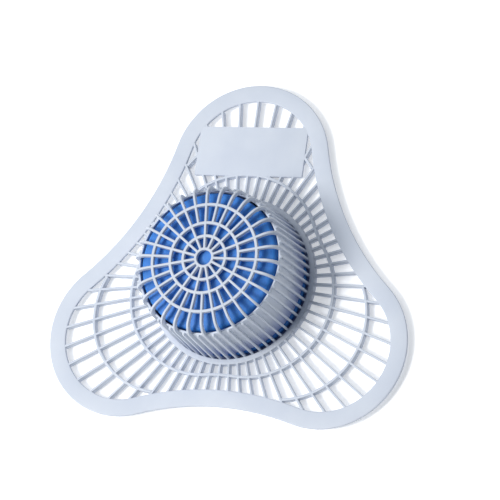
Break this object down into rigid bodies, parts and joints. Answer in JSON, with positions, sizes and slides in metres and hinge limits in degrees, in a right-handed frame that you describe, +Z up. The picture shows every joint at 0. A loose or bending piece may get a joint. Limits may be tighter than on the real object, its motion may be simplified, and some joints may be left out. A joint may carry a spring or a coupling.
{
  "type": "urinal deodorizer screen",
  "caption": "Three-lobed moulded plastic urinal screen with a radial rib lattice, a blank label plate and a domed central cage holding a round blue deodorant block.",
  "frame": {"origin": "middle of the underside of the whole object, on the surface that the screen lies on", "axes": "+Z up along the axis of the round cage, +Y along the lobe that carries the label plate"},
  "size_m": [0.1858, 0.1718, 0.0426],
  "materials": {
    "screen_plastic": "satin",
    "deodorant_cake": "waxy"
  },
  "bodies": {
    "root": {"screen": "screen_plastic", "deodorant_block": "deodorant_cake"}
  },
  "joints": []
}
